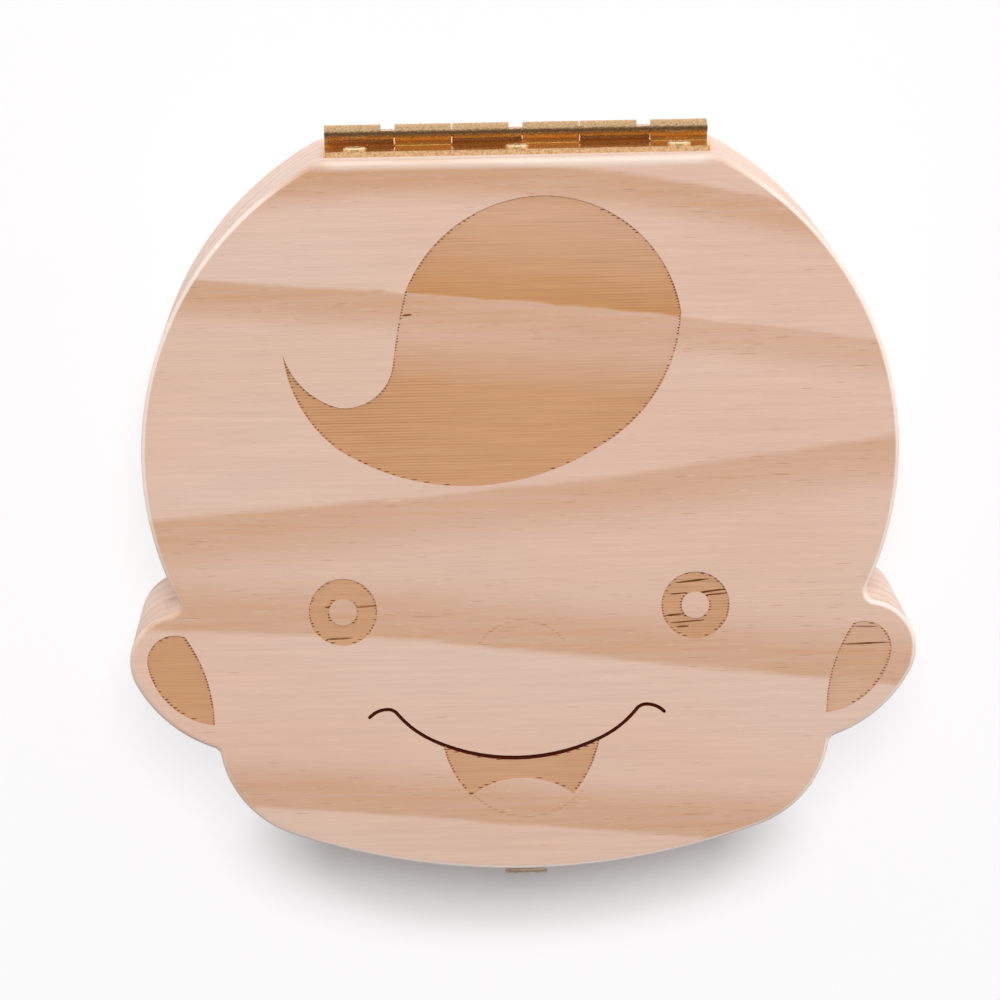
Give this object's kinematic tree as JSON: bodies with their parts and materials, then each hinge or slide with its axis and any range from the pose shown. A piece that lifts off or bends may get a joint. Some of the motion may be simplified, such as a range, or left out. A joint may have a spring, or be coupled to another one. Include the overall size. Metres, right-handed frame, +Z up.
{
  "type": "baby tooth box",
  "caption": "Head-shaped pine keepsake box with an engraved hinged lid, a swinging clasp and tooth-shaped pockets for milk teeth.",
  "frame": {"origin": "on the underside of the base, midway between the chin and the hinge wall", "axes": "+X from the left ear to the right ear as the engraved face is read, +Y from the chin to the hinge, +Z up through the lid"},
  "size_m": [0.12, 0.1176, 0.03],
  "materials": {
    "pine_base": "sanded, unvarnished pine",
    "pine_lid": "sanded, unvarnished pine",
    "hinge_brass": "bright brass plate on stamped sheet",
    "clasp_brass": "antique brass plate on stamped sheet"
  },
  "bodies": {
    "base": {"base_block": "pine_base", "base_hinge_leaf": "hinge_brass", "hinge_pin": "hinge_brass", "base_leaf_nails": "hinge_brass", "catch_plate": "clasp_brass", "catch_plate_nails": "clasp_brass"},
    "lid": {"lid_board": "pine_lid", "lid_hinge_leaf": "hinge_brass", "lid_leaf_nails": "hinge_brass", "clasp_plate": "clasp_brass", "clasp_plate_nails": "clasp_brass", "clasp_pin": "clasp_brass"},
    "tongue": {"clasp_tongue": "clasp_brass"}
  },
  "joints": [
    {"name": "lid_hinge", "type": "hinge", "parent": "base", "child": "lid", "pos_m": [0, 0.05765, 0.01815], "axis": [-1, 0, 0], "range_deg": [0, 180]},
    {"name": "clasp_swing", "type": "hinge", "parent": "lid", "child": "tongue", "pos_m": [0, -0.0564, 0.0232], "axis": [-1, 0, 0], "range_deg": [0, 120]}
  ]
}
